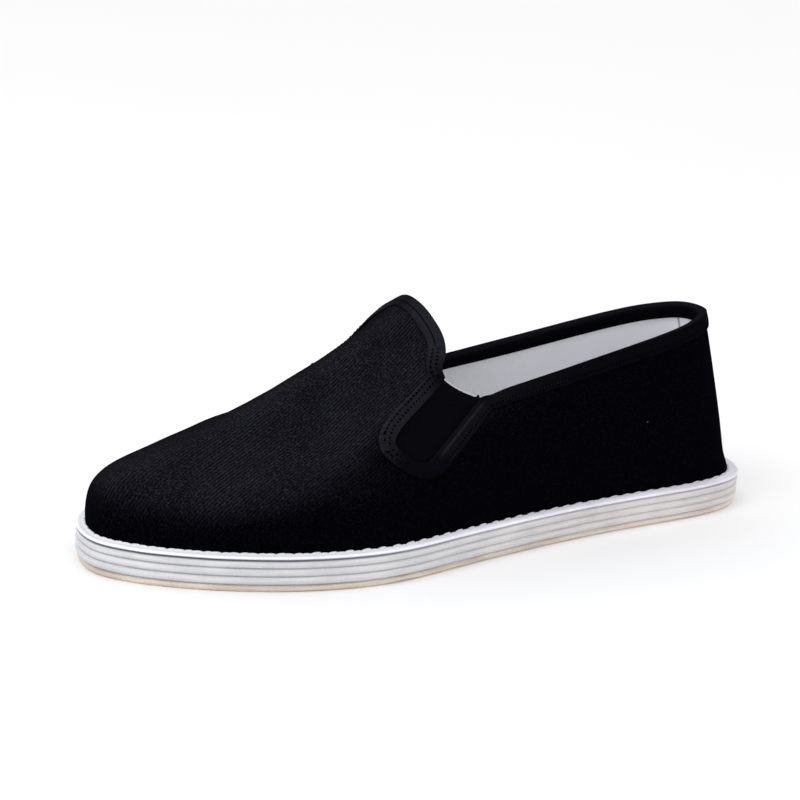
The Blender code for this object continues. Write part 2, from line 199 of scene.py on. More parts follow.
class Finish:
    """A material: its shader and the nodes that feed it."""

    def __init__(self, name, roughness, **constants):
        self.material = bpy.data.materials.new(name)
        self.material.use_nodes = True
        self.tree = self.material.node_tree
        self.shader = self.tree.nodes["Principled BSDF"]
        self.shader.inputs["Roughness"].default_value = roughness
        for constant, value in constants.items():
            socket_name = constant.replace("_", " ").title().replace("Ior", "IOR")
            self.shader.inputs[socket_name].default_value = value

    def add(self, kind, settings, inputs, out=0):
        """Adds a node and returns one of its outputs."""
        node = self.tree.nodes.new(kind)
        for name, value in settings.items():
            setattr(node, name, value)
        for name, value in inputs.items():
            if isinstance(value, Value):
                self.tree.links.new(value.socket, node.inputs[name])
            else:
                node.inputs[name].default_value = value
        return Value(self, node.outputs[out])

    def place(self):
        """Where a point of the piece lies, in metres."""
        return self.add("ShaderNodeTexCoord", {}, {}, "Object")

    def cloth_place(self):
        """Where a point lies on the flat cloth, in metres."""
        return self.add("ShaderNodeUVMap", {"uv_map": "cloth"}, {}, "UV")

    def painted(self, name):
        """A value painted on the piece's points."""
        return self.add("ShaderNodeAttribute", {"attribute_name": name}, {}, "Fac")

    def axis(self, vector, axis):
        return self.add("ShaderNodeSeparateXYZ", {}, {"Vector": vector}, axis)

    def turned(self, vector, degrees=0.0, scale=(1, 1, 1)):
        inputs = {"Vector": vector, "Rotation": (0, 0, math.radians(degrees)), "Scale": scale}
        return self.add("ShaderNodeMapping", {}, inputs)

    def grain(self, vector, size, detail=2.0):
        """Soft noise whose spots are about this size, in metres."""
        inputs = {"Vector": vector, "Scale": 1 / size, "Detail": detail, "Roughness": 0.55}
        return self.add("ShaderNodeTexNoise", {}, inputs, "Fac")

    def mix(self, share, low, high):
        """A colour between two colours."""
        sockets = {MIX_FACTOR: share, MIX_LOW: low, MIX_HIGH: high}
        return self.add("ShaderNodeMix", {"data_type": "RGBA"}, sockets, MIX_RESULT)

    def feed(self, name, value):
        self.tree.links.new(value.socket, self.shader.inputs[name])

    def relief(self, height, depth):
        """Bump of this depth, in metres, from a height between 0 and 1."""
        inputs = {"Height": height, "Distance": depth, "Strength": 1.0}
        self.feed("Normal", self.add("ShaderNodeBump", {}, inputs))


def rgb(red, green, blue):
    return (red, green, blue, 1.0)


# %% [markdown]
# The floor is a sheet of pale paper: nearly white, quite rough and a little uneven in tone.

# %% Floor finish
paper = Finish("pale_paper", 0.9, specular_ior_level=0.1)
tone = paper.grain(paper.place(), 400 * MM)
paper.feed("Base Color", paper.mix(tone, rgb(0.93, 0.93, 0.93), rgb(0.95, 0.95, 0.95)))
floor_mesh.materials.append(paper.material)
print("floor finish has", len(paper.tree.nodes), "nodes")

# %% [markdown]
# A solid in the frame is loose triangles. Welding the points and joining the triangles back into quads
# gives a cage that subdivides cleanly. Modelling each piece again by hand would risk a misfit at the
# seams, while a copy of the cage stays exactly where the frame says.

# %% Welded copies
WELD_DISTANCE = 0.01 * MM
LEVEL_FACE = 0.999
FACES_OF_A_FLAT_CAP = 60
SHARP_DEGREES = 50


def welded_copy(node, regular=1.3):
    """A bmesh of the solid with its points merged and most of its triangles joined into quads.

    A flat cap of many faces is first made one face. The higher regular is, the more the joining
    prefers rows of even quads.
    """
    work = bmesh.new()
    work.from_mesh(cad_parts[node].data)
    bmesh.ops.remove_doubles(work, verts=work.verts, dist=WELD_DISTANCE)
    for way in (-1, 1):
        level = [face for face in work.faces if face.normal.z * way > LEVEL_FACE]
        if len(level) > FACES_OF_A_FLAT_CAP:
            bmesh.ops.dissolve_faces(work, faces=level, use_verts=False)
    bmesh.ops.join_triangles(
        work,
        faces=work.faces,
        angle_face_threshold=math.pi,
        angle_shape_threshold=math.pi,
        topology_influence=regular,
    )
    work.faces.ensure_lookup_table()
    return work


def sheet_of(start):
    """The smooth stretch of faces round one face, up to the sharp edges."""
    limit = math.radians(SHARP_DEGREES)
    found, still_to_search = {start}, [start]
    while still_to_search:
        face = still_to_search.pop()
        for edge in face.edges:
            for other in edge.link_faces:
                if other not in found and face.normal.angle(other.normal) < limit:
                    found.add(other)
                    still_to_search.append(other)
    return found


def add_piece(name, work, finishes):
    """Makes the bmesh a smooth piece that rides on the shoe."""
    mesh = bpy.data.meshes.new(name)
    work.to_mesh(mesh)
    work.free()
    for finish in finishes:
        mesh.materials.append(finish.material)
    mesh.shade_smooth()
    piece = bpy.data.objects.new(name, mesh)
    bpy.context.scene.collection.objects.link(piece)
    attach(piece, "root")
    return piece


def points_of(mesh):
    places = np.empty(len(mesh.vertices) * 3)
    mesh.vertices.foreach_get("co", places)
    return places.reshape(-1, 3)


# %% [markdown]
# Subdividing rounds a cage, but it also draws the skin inwards at every bend, so the shoe would come out
# a little smaller than its frame. The cage is therefore swollen by what the skin has lost, a few times
# over. A finer frame would lose less, but would be heavier for everyone who uses it.

# %% Subdividing and painting
HOLDING_ROUNDS = 4
# The way towards the key light, over the toe: cloth facing it is painted lighter, cloth facing away
# painted darker.
TOWARDS_THE_LIGHT = Vector((0.15, -0.45, 0.88)).normalized()
LIGHT_STARTS = 0.3
LIGHT_SHARPNESS = 3


def subdivide(piece, levels, held_share=1.0):
    """Subdivides a piece for good, and gives back this share of what its skin would lose."""
    modifier = piece.modifiers.new("fine", "SUBSURF")
    modifier.levels = modifier.render_levels = levels
    wanted = points_of(piece.data)
    cage_points = wanted.copy()
    for _ in range(HOLDING_ROUNDS if held_share else 0):
        graph = bpy.context.evaluated_depsgraph_get()
        fine = bpy.data.meshes.new_from_object(piece.evaluated_get(graph))
        cage_points += (wanted - points_of(fine)[: len(wanted)]) * held_share
        bpy.data.meshes.remove(fine)
        piece.data.vertices.foreach_set("co", cage_points.ravel())
        piece.data.update()
    graph = bpy.context.evaluated_depsgraph_get()
    fine = bpy.data.meshes.new_from_object(piece.evaluated_get(graph))
    piece.modifiers.clear()
    old = piece.data
    piece.data = fine
    fine.name = old.name
    bpy.data.meshes.remove(old)
    return fine


def paint(piece, name, values):
    """Paints a value on the piece's points for its finish to read."""
    layer = piece.data.attributes.new(name, "FLOAT", "POINT")
    layer.data.foreach_set("value", values)


def paint_light_share(piece):
    """Paints a share of light: lighter where the cloth faces up and forward, towards the light, darker on
    the sides.
    """
    mesh = piece.data
    normals = np.empty(len(mesh.vertices) * 3)
    mesh.vertex_normals.foreach_get("vector", normals)
    facing = normals.reshape(-1, 3) @ np.array(TOWARDS_THE_LIGHT)
    lit_share = np.clip((facing - LIGHT_STARTS) / (1 - LIGHT_STARTS), 0.0, 1.0)
    paint(piece, "painted_light_share", lit_share**LIGHT_SHARPNESS)


# %% [markdown]
# The upper is cut flat from twill as one long horseshoe, closed by a seam at the heel. Its lines of
# twill therefore sweep over the toe in a curve. Unwrapping the outside from a seam at the heel gives back
# that flat pattern. A pattern thrown on from the sides would be quicker, but would break at the toe.

# %% The upper's cage and its flat pattern
TWILL_FACE, LINING_FACE, RIM_FACE = 0, 1, 2
HEEL_STARTS = 90 * MM
ABOVE_THE_FOOT = 20 * MM

cage = welded_copy("upper")
outside = sheet_of(max(cage.faces, key=lambda face: face.calc_center_median().x))
rest = [face for face in cage.faces if face not in outside]
inside = max((sheet_of(face) for face in rest[:: len(rest) // 40]), key=len) - outside
for face in cage.faces:
    if face in inside:
        face.material_index = LINING_FACE
    else:
        face.material_index = TWILL_FACE if face in outside else RIM_FACE
for edge in cage.edges:
    split = len({(face in outside, face in inside) for face in edge.link_faces}) > 1
    in_middle = all(abs(v.co.x - MIDDLE_X) < ON_MIDDLE for v in edge.verts)
    at_heel = in_middle and min(v.co.y for v in edge.verts) > HEEL_STARTS
    edge.seam = split or at_heel


def loop_along(edges):
    """The points of a closed chain of edges, in order."""
    links = {}
    for edge in edges:
        for vert in edge.verts:
            links.setdefault(vert, []).append(edge.other_vert(vert))
    first = max(links, key=lambda vert: vert.co.y)
    chain, before = [first], None
    while True:
        after = [vert for vert in links[chain[-1]] if vert is not before]
        before = chain[-1]
        if after[0] is first or len(chain) > len(links):
            return chain
        chain.append(after[0])


border = [e for e in cage.edges if len([f for f in e.link_faces if f in outside]) == 1]
foot_border = [e for e in border if max(v.co.z for v in e.verts) < ABOVE_THE_FOOT]
rim_border = [e for e in border if min(v.co.z for v in e.verts) > ABOVE_THE_FOOT]


def stations_along(edges):
    """Points of a chain, each with the outward direction of the cloth beside it."""
    stations = []
    for vert in loop_along(edges):
        beside = [face.normal for face in vert.link_faces if face in outside]
        stations.append((vert.co.copy(), sum(beside, Vector()).normalized()))
    return stations


FOOT = stations_along(foot_border)
RIM = stations_along(rim_border)
outside_faces = {face.index for face in outside}
inside_faces = {face.index for face in inside}
print("cage of", len(cage.faces), "faces; foot of", len(FOOT), "points, rim of", len(RIM))

# %% [markdown]
# Black twill is dyed cotton with a soft nap. Its diagonal ribs show as fine lines where light rakes them,
# and a few threads of lint lie on it. The nap's fine speckle of light is painted into the colour, and so
# is the light itself: where the cloth faces up and forward, towards the light, it is painted lighter, and
# on the sides darker. The white lining is a plain weave, with the edge of a patch beside the heel, whose
# dark line is partly the seam's own colour and partly painted shade. The ribs and the weave are drawn in
# the flat cloth's own metres, so they bend with it. An image of cloth would show where it repeats.

# %% Twill and lining finishes
TWILL_RIB = 1.05 * MM
TWILL_ANGLE = -10.0
HEEL_PATCH_X = MIDDLE_X - 7 * MM
HEEL_PATCH_Y = 70 * MM
LINING_THREAD = 0.7 * MM


def ribs(finish, vector, pitch, degrees):
    """Even ridges between 0 and 1, this far apart, across a direction in the cloth."""
    across = finish.axis(finish.turned(vector, degrees), 0)
    return (across * (2 * math.pi / pitch)).sine() * 0.5 + 0.5


twill = Finish("black_twill", 0.95, specular_ior_level=0.0, sheen_weight=0.004, sheen_roughness=0.5)
flat = twill.cloth_place()
twill_ribs = ribs(twill, flat, TWILL_RIB, TWILL_ANGLE) ** 1.6
wander = twill.grain(flat, 22 * MM)
nap = twill.grain(twill.place(), 0.75 * MM, 4.0)
cloud = twill.grain(twill.place(), 30 * MM, 3.0)
rib_share = wander.between(0.3, 0.7) * 0.6 + 0.25
speckle = nap.between(0.43, 0.76)
lint_cells = {"Vector": twill.place(), "Scale": 1 / (17 * MM), "Randomness": 1.0}
lint_far = twill.add("ShaderNodeTexVoronoi", {}, lint_cells, "Distance")
lint = 1 - lint_far.between(0.012, 0.026)
lit = speckle * (0.75 - rib_share * 0.25) + twill_ribs * rib_share * 0.5
twill_lit_share = twill.painted("painted_light_share") * (cloud.between(0.3, 0.7) * 0.3 + 0.85)
shaded_speckle = speckle * 0.85 + twill_ribs * 0.1
# Painted light: a shaded copy of the twill for the sides and a lit copy for where it faces the light,
# mixed by the painted light share.
shaded_twill = twill.mix(shaded_speckle, rgb(0.0004, 0.0004, 0.0011), rgb(0.0034, 0.0032, 0.0055))
lit_twill = twill.mix(lit, rgb(0.0030, 0.0029, 0.0052), rgb(0.0330, 0.0315, 0.0425))
lit_and_shaded_twill = twill.mix(twill_lit_share, shaded_twill, lit_twill)
heel_seam = 1 - (twill.axis(twill.place(), 0) - MIDDLE_X).unsigned().between(0.15 * MM, 0.55 * MM)
heel_seam = heel_seam * twill.axis(twill.place(), 1).between(HEEL_STARTS, HEEL_STARTS + 5 * MM)
twill.feed("Base Color", twill.mix(lint * 0.5, lit_and_shaded_twill, rgb(0.12, 0.12, 0.14)))
twill.relief(twill_ribs * rib_share * 0.7 + nap * 0.6 - heel_seam * 2.0, 0.17 * MM)

lining = Finish("white_lining", 0.95, specular_ior_level=0.15)
lining_flat = lining.cloth_place()
warp, weft = (ribs(lining, lining_flat, LINING_THREAD, degrees) for degrees in (0, 90))
lining_weave = warp * weft
lining_cloud = lining.grain(lining_flat, 14 * MM, 4.0)
lining_spot = lining.place()
patch_edge = (lining.axis(lining_spot, 0) - HEEL_PATCH_X).unsigned()
patch_reach = lining.axis(lining_spot, 1).between(HEEL_PATCH_Y, HEEL_PATCH_Y + 2 * MM)
# The patch's dark line is partly the seam's own colour and partly painted shade.
patch_seam_and_shade = (1 - patch_edge.between(0.15 * MM, 0.5 * MM)) * patch_reach
lining_colour = lining.mix(lining_cloud, rgb(0.88, 0.89, 0.94), rgb(0.93, 0.93, 0.97))
lining.feed("Base Color", lining.mix(patch_seam_and_shade * 0.7, lining_colour, rgb(0.22, 0.21, 0.25)))
lining.relief(lining_weave * 0.5 + lining_cloud * 2.0 - patch_seam_and_shade * 2.0, 0.12 * MM)
print("twill has", len(twill.tree.nodes), "nodes, lining has", len(lining.tree.nodes))

# %% [markdown]
# A flat pattern can be laid out by hand, but the solid already is the cloth, drawn over the last. The
# unwrap flattens it and keeps its angles nearly true, and a turn and a scale bring it to true metres.

# %% Unwrapping and dressing the upper
VAMP_ENDS = -20 * MM
FACING_STRAIGHT_ENOUGH = 0.7

upper = add_piece("upper_cloth", cage, [twill, lining, twill])


def unwrap(piece):
    """Lays the piece's faces flat, cut at its seams."""
    piece.data.uv_layers.new(name="cloth")
    bpy.context.view_layer.objects.active = piece
    bpy.ops.object.mode_set(mode="EDIT")
    bpy.ops.mesh.select_all(action="SELECT")
    bpy.ops.uv.unwrap(method="ANGLE_BASED", margin=0.0)
    bpy.ops.object.mode_set(mode="OBJECT")


def fit_flat(piece, faces, looks_up):
    """Turns and scales the flat pattern of some faces to metres, to match the vamp in plan."""
    mesh, layer = piece.data, piece.data.uv_layers["cloth"].data
    loops = [i for f in faces for i in mesh.polygons[f].loop_indices]
    on_top = [
        i
        for f in faces
        if looks_up(mesh.polygons[f].normal) and mesh.polygons[f].center.y < VAMP_ENDS
        for i in mesh.polygons[f].loop_indices
    ]
    plan = np.array([complex(*mesh.vertices[mesh.loops[i].vertex_index].co[:2]) for i in on_top])
    drawn = np.array([complex(*layer[i].uv) for i in on_top])
    fits = []
    for mirrored in (False, True):
        source = drawn.conjugate() if mirrored else drawn
        about, spot = source.mean(), plan.mean()
        spread = (abs(source - about) ** 2).sum()
        turn = ((plan - spot) * (source - about).conjugate()).sum() / spread
        misfit = abs(turn * (source - about) + spot - plan).mean()
        fits.append((misfit, mirrored, turn, about, spot))
    misfit, mirrored, turn, about, spot = min(fits, key=lambda fit: fit[0])
    for i in loops:
        point = complex(*layer[i].uv)
        point = turn * ((point.conjugate() if mirrored else point) - about) + spot
        layer[i].uv = (point.real, point.imag)
    print(piece.name, "flat pattern fits the vamp within", round(misfit / MM, 2), "mm")


unwrap(upper)
fit_flat(upper, outside_faces, lambda normal: normal.z > FACING_STRAIGHT_ENOUGH)
fit_flat(upper, inside_faces, lambda normal: normal.z < -FACING_STRAIGHT_ENOUGH)
upper_mesh = subdivide(upper, 2)
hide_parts("upper")
print("upper has", len(upper_mesh.polygons), "faces")

# %% [markdown]
# Cloth that has been drawn over a last is never quite even: it dips where the tongue stretches it, sinks
# beside the notches and the heel, and swells at the side of the toe. Each of these is listed as a soft
# trough or ridge along a short line, and moved by falloff. A cloth simulation would need the last.
# Tape and elastic are sewn to the cloth, so they follow the same folds.

# %% Hollows and ridges
STILL_BELOW = 14 * MM
FREE_ABOVE = 22 * MM


def soften(distance, reach):
    """1 on the line, falling smoothly to 0 towards the reach and beyond."""
    return math.exp(-((distance / (0.5 * reach)) ** 2))


FOLDS = [
    # start and end of the line, reach across it, height in mm (a trough is below zero)
    ((-30, -62, 42), (26, -60, 42), 20, -0.9),
    ((-34, -80, 34), (30, -78, 34), 16, -0.4),
    ((-40, -54, 40), (-27, -27, 64), 20, -1.8),
    ((33, -52, 38), (42, -72, 22), 14, -0.7),
    ((-37, -52, 38), (-44, -72, 22), 14, -0.7),
    ((38, 0, 40), (40, 26, 24), 18, -0.9),
    ((-40, 0, 40), (-40, 26, 24), 18, -0.9),
    ((34, 62, 26), (30, 84, 50), 16, -0.6),
    ((-34, 62, 26), (-32, 84, 50), 16, -0.6),
    ((-8, 114, 30), (10, 113, 30), 10, -0.4),
    ((40, -92, 20), (30, -110, 18), 12, 0.5),
]


def share_between(start, end, value):
    """0 at the start, 1 at the end and beyond, in between in proportion."""
    return min(max((value - start) / (end - start), 0.0), 1.0)


def shape_folds(piece, folds, outwards):
    """Moves each point out of the shoe by the folds near it, but not the foot of the cloth."""
    mesh = piece.data
    for vert in mesh.vertices:
        lift = 0.0
        for start, end, reach, height in folds:
            start, end = Vector(start) * MM, Vector(end) * MM
            along = end - start
            share = share_between(0, along.length_squared, (vert.co - start).dot(along))
            away = (vert.co - start - along * share).length
            if away < 2 * reach * MM:
                lift += height * MM * soften(away, reach * MM)
        clear_of_foot = share_between(STILL_BELOW, FREE_ABOVE, vert.co.z)
        vert.co += outwards[vert.index] * lift * clear_of_foot


def outward_directions(piece):
    """For every point of the wall, the way out of the shoe, which lining and twill share."""
    mesh = piece.data
    outward = {}
    for polygon in mesh.polygons:
        if polygon.material_index == TWILL_FACE:
            for i in polygon.vertices:
                outward[i] = outward.get(i, Vector()) + polygon.normal
    tree = KDTree(len(outward))
    for i in outward:
        tree.insert(mesh.vertices[i].co, i)
    tree.balance()
    return [outward[tree.find(vert.co)[1]].normalized() for vert in mesh.vertices]


# The crease that the frame leaves across the vamp, where the tongue begins.
CREASE_FRONT, CREASE_BACK, CREASE_LOW = -58 * MM, -22 * MM, 26 * MM
HELD_BY_TAPE = 3.5 * MM
EASING_ROUNDS = 25


def ease_crease(piece):
    """Eases the crease where the vamp meets the tongue, away from the rim that the tape holds."""
    rim = KDTree(len(RIM))
    for i, (point, _) in enumerate(RIM):
        rim.insert(point, i)
    rim.balance()
    work = bmesh.new()
    work.from_mesh(piece.data)
    near = []
    for vert in work.verts:
        on_vamp = CREASE_FRONT < vert.co.y < CREASE_BACK and vert.co.z > CREASE_LOW
        if on_vamp and rim.find(vert.co)[2] > HELD_BY_TAPE:
            near.append(vert)
    ways = {"use_axis_x": True, "use_axis_y": True, "use_axis_z": True}
    for _ in range(EASING_ROUNDS):
        bmesh.ops.smooth_vert(work, verts=near, factor=0.5, **ways)
    work.to_mesh(piece.data)
    work.free()
    print("points eased on the vamp:", len(near))


ease_crease(upper)
SHELL_OUT = outward_directions(upper)
SHELL = KDTree(len(upper.data.vertices))
for vert in upper.data.vertices:
    SHELL.insert(vert.co, vert.index)
SHELL.balance()


def follow_folds(piece):
    """Bends a piece that is sewn to the upper with the same folds."""
    beside = [SHELL_OUT[SHELL.find(vert.co)[1]] for vert in piece.data.vertices]
    shape_folds(piece, FOLDS, beside)


shape_folds(upper, FOLDS, SHELL_OUT)
paint_light_share(upper)
print("folds shaped by hand:", len(FOLDS))

# %% [markdown]
# Stitches and tapes follow two lines: the foot of the upper, and its rim with both notches. A row of
# stitches is set out on such a line as a maker marks it with dividers, at an even pitch. A curve object
# could be drawn for each, but the lines read from the cage already lie on the cloth.

# %% Lines to sew along
FINE_STEP = 0.5 * MM


class Line:
    """A closed line with a direction out of the cloth at every point, read by length along it."""

    def __init__(self, stations):
        self.points = [point for point, _ in stations]
        self.outwards = [outward for _, outward in stations]
        ends = self.points[1:] + self.points[:1]
        steps = [(b - a).length for a, b in zip(self.points, ends)]
        self.marks = np.concatenate([[0.0], np.cumsum(steps)])
        self.length = float(self.marks[-1])

    def at(self, along):
        """Point, direction ahead and direction out of the cloth."""
        along = along % self.length
        i = min(int(np.searchsorted(self.marks, along, side="right")) - 1, len(self.points) - 1)
        j = (i + 1) % len(self.points)
        share = (along - self.marks[i]) / (self.marks[i + 1] - self.marks[i])
        point = self.points[i].lerp(self.points[j], share)
        outward = self.outwards[i].lerp(self.outwards[j], share).normalized()
        ahead = (self.points[j] - self.points[i]).normalized()
        return point, ahead, outward

    def nearest(self, spot):
        """Length along the line nearest to a spot given in mm."""
        marks = np.arange(0.0, self.length, FINE_STEP)
        gaps = [(self.at(mark)[0] - Vector(spot) * MM).length for mark in marks]
        return float(marks[int(np.argmin(gaps))])

    def even(self, pitch):
        """Lengths along the line at an even pitch."""
        count = round(self.length / pitch)
        return [self.length * i / count for i in range(count)]


foot_line = Line(FOOT)
rim_line = Line(RIM)
print("foot line", round(foot_line.length / MM), "mm, rim line", round(rim_line.length / MM), "mm")


def arc_map(piece, line, across):
    """Adds the flat cloth map of a tape: length along the line, and a distance across it."""
    mesh = piece.data
    marks = np.arange(0.0, line.length, FINE_STEP)
    tree = KDTree(len(marks))
    for i, mark in enumerate(marks):
        tree.insert(line.at(mark)[0], i)
    tree.balance()
    layer = mesh.uv_layers.get("cloth") or mesh.uv_layers.new(name="cloth")
    flat_at = []
    for vert in mesh.vertices:
        mark = float(marks[tree.find(vert.co)[1]])
        point, ahead, out = line.at(mark)
        flat_at.append((mark, across(vert.co - point, ahead, out)))
    for polygon in mesh.polygons:
        longest = max(flat_at[i][0] for i in polygon.vertices)
        for loop in polygon.loop_indices:
            mark, side = flat_at[mesh.loops[loop].vertex_index]
            layer.data[loop].uv = (mark + line.length * (longest - mark > line.length / 2), side)
    return flat_at


# %% [markdown]
# The rim is bound with a folded cotton tape. Where it faces the light, its colour is painted a little
# lighter than the twill, most before each notch, with a painted highlight along its fold behind the
# notch.
# Two close rows of machine stitches run from the front foot of each notch to the shoulder of the tongue,
# and one row runs behind the notch and round the collar. A dark hem line runs along the tongue's top.
# The needle holes are painted shade in the finish and the threads are real, because a thread catches
# light while a hole only has to be dark.

# %% Binding tape
NEEDLE_PITCH = 1.55 * MM
ROW_NEAR = 1.5 * MM
ROW_FAR = 3.4 * MM
NEEDLE_HOLE = 0.30
HEM_DEPTH = 2.5 * MM
TAPE_THREAD = 0.7 * MM

binding = Finish(
    "black_binding", 0.9, specular_ior_level=0.0, sheen_weight=0.006, sheen_roughness=0.4
)
tape = binding.cloth_place()
tape_along, tape_across = binding.axis(tape, 0), binding.axis(tape, 1)
tape_ribs = ribs(binding, tape, TAPE_THREAD, 0)
tape_nap = binding.grain(binding.place(), 1.0 * MM, 3.0)


def needle_holes(along, across, row):
    """1 in each needle hole of a row, 0 elsewhere. A hole's radius is a share of the pitch."""
    step = (along / NEEDLE_PITCH).fraction() - 0.5
    aside = (across - row) / NEEDLE_PITCH
    away = (step * step + aside * aside) ** 0.5
    return 1 - away.between(NEEDLE_HOLE * 0.6, NEEDLE_HOLE)


near_holes = needle_holes(tape_along, tape_across, ROW_NEAR) * binding.painted("near_row")
far_holes = needle_holes(tape_along + NEEDLE_PITCH / 2, tape_across, ROW_FAR)
holes = near_holes.at_least(far_holes * binding.painted("far_row"))
woven = tape_ribs * 0.35 + tape_nap * 0.65
# Painted light: a shaded and a lit copy of the tape, mixed by the painted light share, a painted lit band
# before the notches and a painted highlight behind them.
tape_shaded = binding.mix(woven, rgb(0.0004, 0.0004, 0.0012), rgb(0.0042, 0.0040, 0.0062))
tape_lit = binding.mix(woven, rgb(0.0040, 0.0040, 0.0065), rgb(0.0270, 0.0265, 0.0350))
# A painted highlight along the fold behind the notch, beside the elastic.
fold_highlight = 1 - (tape_across - 0.7 * MM).unsigned().between(0.15 * MM, 0.75 * MM)
tape_lit_share = binding.painted("painted_light_share") * 0.35 + binding.painted("painted_lit_band") * 0.62
tape_lit_share = tape_lit_share + binding.painted("notch_rear") * (fold_highlight * 0.55 + 0.12)
tape_colour = binding.mix(tape_lit_share, tape_shaded, tape_lit)
hem_line = 1 - (tape_across - HEM_DEPTH).unsigned().between(0.1 * MM, 0.4 * MM)
hem = hem_line * binding.painted("tongue_hem")
tape_colour = binding.mix(hem * 0.85, tape_colour, rgb(0.0008, 0.0008, 0.0014))
# Each needle hole is painted shade: a darker colour where the hole is.
binding.feed("Base Color", binding.mix(holes, tape_colour, rgb(0.0008, 0.0008, 0.0012)))
binding.relief(woven * 0.5 - holes * 1.6, 0.25 * MM)

collar = add_piece("binding_tape", welded_copy("collar_binding", 1.0), [binding])
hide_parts("collar_binding")
subdivide(collar, 2, 0.35)
paint_light_share(collar)


def down_cloth(line):
    """The way down the cloth from a line, whichever way round the line runs."""
    _, ahead, out = line.at(0.0)
    way = 1 if out.cross(ahead).z < 0 else -1
    return lambda ahead, out: out.cross(ahead) * way


down_from_rim = down_cloth(rim_line)


TAPE_THICKNESS = 1.0 * MM
BEHIND_THE_FOLD = -3.0 * MM


def across_tape(offset, ahead, out):
    """Distance down the outside from the fold, and below zero on the inside."""
    down = offset.dot(down_from_rim(ahead, out))
    return down if offset.dot(out) > -TAPE_THICKNESS else BEHIND_THE_FOLD - down


tape_places = arc_map(collar, rim_line, across_tape)
print("tape has", len(collar.data.polygons), "faces")

# %% [markdown]
# Each row runs between marks on the rim: the corners of the notches and of the tongue, and the middle of
# the heel. They are given as spots in mm and looked up on the rim line. Lengths along the line would be
# shorter to write, but would slip with every change of the shape.

# %% Where the tape is stitched
NOTCH_CORNER = (22.1, 3.3, 52.8)
NOTCH_LOW = (36.7, -25.0, 38.1)
NOTCH_FRONT_FOOT = (37.2, -38.8, 40.2)
TONGUE_CORNER = (26.0, -18.0, 63.2)
TONGUE_TOP = (-2.1, -14.7, 84.8)
TONGUE_SHOULDER = (20.8, -14.7, 72.6)
COLLAR_BACK = (-2.1, 118.6, 72.8)
ROW_FADE = 1.5 * MM


def other_side(spot):
    """The same spot on the inner side of the shoe, in mm."""
    return (2 * MIDDLE_X / MM - spot[0], spot[1], spot[2])


def spans_along(line, pairs):
    """Both sides' stretches between pairs of spots, each the shorter way round the line."""
    spans = []
    for first, last in pairs:
        for turn_over in (tuple, other_side):
            start, end = (line.nearest(turn_over(spot)) for spot in (first, last))
            if (end - start) % line.length > line.length / 2:
                start, end = end, start
            spans.append((start, (end - start) % line.length))
    return spans


def share_within(line, spans, mark, soft=ROW_FADE):
    """1 inside the spans, falling to 0 at their ends."""
    best = 0.0
    for start, reach in spans:
        past = (mark - start) % line.length
        if past <= reach:
            best = max(best, min(past / soft, (reach - past) / soft, 1.0))
    return best


before_notch = (NOTCH_FRONT_FOOT, TONGUE_CORNER)
behind_notch = (NOTCH_CORNER, NOTCH_LOW)
double_row = spans_along(rim_line, [before_notch, (TONGUE_CORNER, TONGUE_SHOULDER)])
single_row = spans_along(rim_line, [behind_notch, (NOTCH_CORNER, COLLAR_BACK)])
both_rows = double_row + single_row
painted_lit_band = spans_along(rim_line, [before_notch, (TONGUE_CORNER, TONGUE_TOP)])
tongue_hem = spans_along(rim_line, [(TONGUE_SHOULDER, TONGUE_TOP)])
notch_rear = spans_along(rim_line, [behind_notch])
for name, spans, soft in (
    ("painted_lit_band", painted_lit_band, 9 * MM),
    ("tongue_hem", tongue_hem, 0.5 * MM),
    ("notch_rear", notch_rear, 4 * MM),
    ("near_row", double_row, ROW_FADE),
    ("far_row", both_rows, ROW_FADE),
):
    paint(collar, name, [share_within(rim_line, spans, mark, soft) for mark, _ in tape_places])
    print(name, "reaches over", round(sum(reach for _, reach in spans) / MM), "mm of the rim")

# %% [markdown]
# Each machine stitch is a short plump thread that dives into the cloth at both ends. A small ball drawn
# out along the row has that shape with a few dozen faces, and all of them are one mesh. Stitches drawn
# in the finish would be lighter, but would stay flat where the tape turns its edge to the eye.

# %% Machine stitches on the tape
STITCH_SIZE = (1.15 * MM, 0.5 * MM, 0.42 * MM)
STITCH_REACH = 1.5 * MM

black_thread = Finish("black_thread", 0.75, specular_ior_level=0.03, sheen_weight=0.01)
thread_grain = black_thread.grain(black_thread.place(), 0.5 * MM)
thread_dark, thread_light = rgb(0.0012, 0.0012, 0.0024), rgb(0.0075, 0.0073, 0.0110)
black_thread.feed("Base Color", black_thread.mix(thread_grain, thread_dark, thread_light))


def surface_of(piece):
    """A search tree of the piece's faces."""
    mesh = piece.data
    return BVHTree.FromPolygons([v.co for v in mesh.vertices], [p.vertices for p in mesh.polygons])


def ball(sides, rings):
    """A small ball of one unit across, with its poles on the X axis."""
    work = bmesh.new()
    lying = Matrix.Rotation(math.pi / 2, 4, "Y")
    bmesh.ops.create_uvsphere(work, u_segments=sides, v_segments=rings, radius=0.5, matrix=lying)
    mesh = bpy.data.meshes.new("ball")
    work.to_mesh(mesh)
    work.free()
    return mesh


FINE_BALL, THICK_BALL = ball(6, 5), ball(8, 7)


def bead(centre, ahead, out, length, width, height):
    """The matrix that draws a ball out into a stitch at a place."""
    aside = out.cross(ahead).normalized()
    upright = ahead.cross(aside).normalized()
    turned = Matrix((ahead * length, aside * width, upright * height)).transposed()
    return np.array(Matrix.Translation(centre) @ turned.to_4x4())


